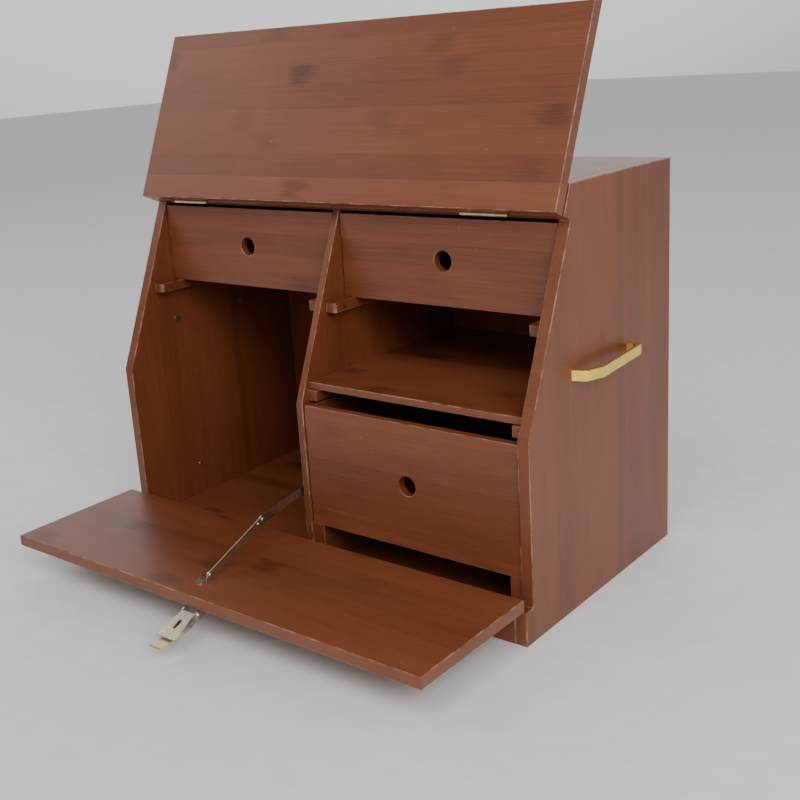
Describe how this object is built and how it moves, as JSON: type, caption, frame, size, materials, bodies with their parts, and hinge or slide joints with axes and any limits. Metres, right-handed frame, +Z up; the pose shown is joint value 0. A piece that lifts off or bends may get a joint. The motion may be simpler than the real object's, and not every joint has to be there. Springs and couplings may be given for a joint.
{
  "type": "desk organizer",
  "caption": "Table-top wooden storage box with a drop-down front, a lift-up sloping lid, drawers, an open cubby and side handles.",
  "frame": {"origin": "centre of the base footprint, on the surface it stands on", "axes": "+Z up, -Y towards the drop-down front, +X to the right when facing the front"},
  "size_m": [0.5802, 0.4912, 0.5535],
  "materials": {
    "bamboo_side": "satin",
    "bamboo_flat": "satin",
    "bamboo_rail": "satin",
    "bamboo_panel": "satin",
    "bamboo_drawer": "satin",
    "gold_handle": "polished",
    "brass_hinge": "satin",
    "nickel_latch": "satin",
    "brass_hook": "satin",
    "zinc_stay": "satin",
    "screw_steel": "satin"
  },
  "bodies": {
    "carcass": {"back_panel": "bamboo_side", "base_panel": "bamboo_flat", "body_screws": "screw_steel", "door_hinge_fixed": "brass_hinge", "door_hinge_pins": "brass_hinge", "drawer_support_inner": "bamboo_rail", "drawer_support_outer": "bamboo_rail", "handle_bolts": "screw_steel", "handle_left": "gold_handle", "handle_right": "gold_handle", "hinge_rail": "bamboo_flat", "lid_hinge_fixed": "brass_hinge", "lid_hinge_pins": "brass_hinge", "partition": "bamboo_side", "plinth_rail": "bamboo_flat", "runner_left_inner": "bamboo_rail", "runner_left_outer": "bamboo_rail", "runner_right_inner": "bamboo_rail", "runner_right_outer": "bamboo_rail", "shelf": "bamboo_flat", "shelf_cleat_inner": "bamboo_rail", "shelf_cleat_outer": "bamboo_rail", "side_panel_left": "bamboo_side", "side_panel_right": "bamboo_side", "stay_wall_bracket": "zinc_stay", "top_panel": "bamboo_flat"},
    "lid": {"lid_panel": "bamboo_panel", "lid_hinge_moving": "brass_hinge", "lid_screws": "screw_steel", "latch_strike": "nickel_latch"},
    "door": {"door_panel": "bamboo_panel", "door_hinge_moving": "brass_hinge", "door_screws": "screw_steel", "latch_base": "nickel_latch", "latch_pivots": "nickel_latch", "stay_door_bracket": "zinc_stay", "stay_door_pin": "zinc_stay"},
    "drawer_left": {"drawer_left_back": "bamboo_drawer", "drawer_left_bottom": "bamboo_drawer", "drawer_left_front": "bamboo_drawer", "drawer_left_side_left": "bamboo_drawer", "drawer_left_side_right": "bamboo_drawer"},
    "drawer_right": {"drawer_right_back": "bamboo_drawer", "drawer_right_bottom": "bamboo_drawer", "drawer_right_front": "bamboo_drawer", "drawer_right_side_left": "bamboo_drawer", "drawer_right_side_right": "bamboo_drawer"},
    "drawer_lower": {"drawer_lower_back": "bamboo_drawer", "drawer_lower_bottom": "bamboo_drawer", "drawer_lower_front": "bamboo_drawer", "drawer_lower_side_left": "bamboo_drawer", "drawer_lower_side_right": "bamboo_drawer"},
    "latch_lever": {"latch_lever": "nickel_latch", "latch_hook_pin": "nickel_latch"},
    "latch_hook": {"latch_hook": "brass_hook"},
    "stay_upper": {"stay_upper_arm": "zinc_stay"},
    "stay_lower": {"stay_lower_arm": "zinc_stay"}
  },
  "joints": [
    {"name": "lid_hinge", "type": "hinge", "parent": "carcass", "child": "lid", "pos_m": [0, -0.06607, 0.37591], "axis": [-1, 0, 0], "range_deg": [-180, 0]},
    {"name": "door_hinge", "type": "hinge", "parent": "carcass", "child": "door", "pos_m": [0, -0.1449, 0.035], "axis": [1, 0, 0], "range_deg": [-90, 0]},
    {"name": "drawer_left_slide", "type": "slide", "parent": "carcass", "child": "drawer_left", "axis": [0, -1, 0], "range_m": [0, 0.115]},
    {"name": "drawer_right_slide", "type": "slide", "parent": "carcass", "child": "drawer_right", "axis": [0, -1, 0], "range_m": [0, 0.115]},
    {"name": "drawer_lower_slide", "type": "slide", "parent": "carcass", "child": "drawer_lower", "axis": [0, -1, 0], "range_m": [0, 0.16]},
    {"name": "latch_lever_hinge", "type": "hinge", "parent": "door", "child": "latch_lever", "pos_m": [0, -0.2992, 0.0292], "axis": [-1, 0, 0], "range_deg": [-157.4, 0]},
    {"name": "latch_hook_hinge", "type": "hinge", "parent": "latch_lever", "child": "latch_hook", "pos_m": [0, -0.30843, 0.02536], "axis": [-1, 0, 0], "range_deg": [-172, 0]},
    {"name": "stay_upper_hinge", "type": "hinge", "parent": "carcass", "child": "stay_upper", "pos_m": [-0.0071, -0.0875, 0.0985], "axis": [1, 0, 0], "range_deg": [-115.1, 0]},
    {"name": "stay_lower_hinge", "type": "hinge", "parent": "door", "child": "stay_lower", "pos_m": [-0.0059, -0.2658, 0.0526], "axis": [1, 0, 0], "range_deg": [0, 100.3]}
  ],
  "couplings": [
    {"joint": "stay_upper_hinge", "follows": "door_hinge", "ratio": 1.2781},
    {"joint": "stay_lower_hinge", "follows": "door_hinge", "ratio": -1.114}
  ]
}
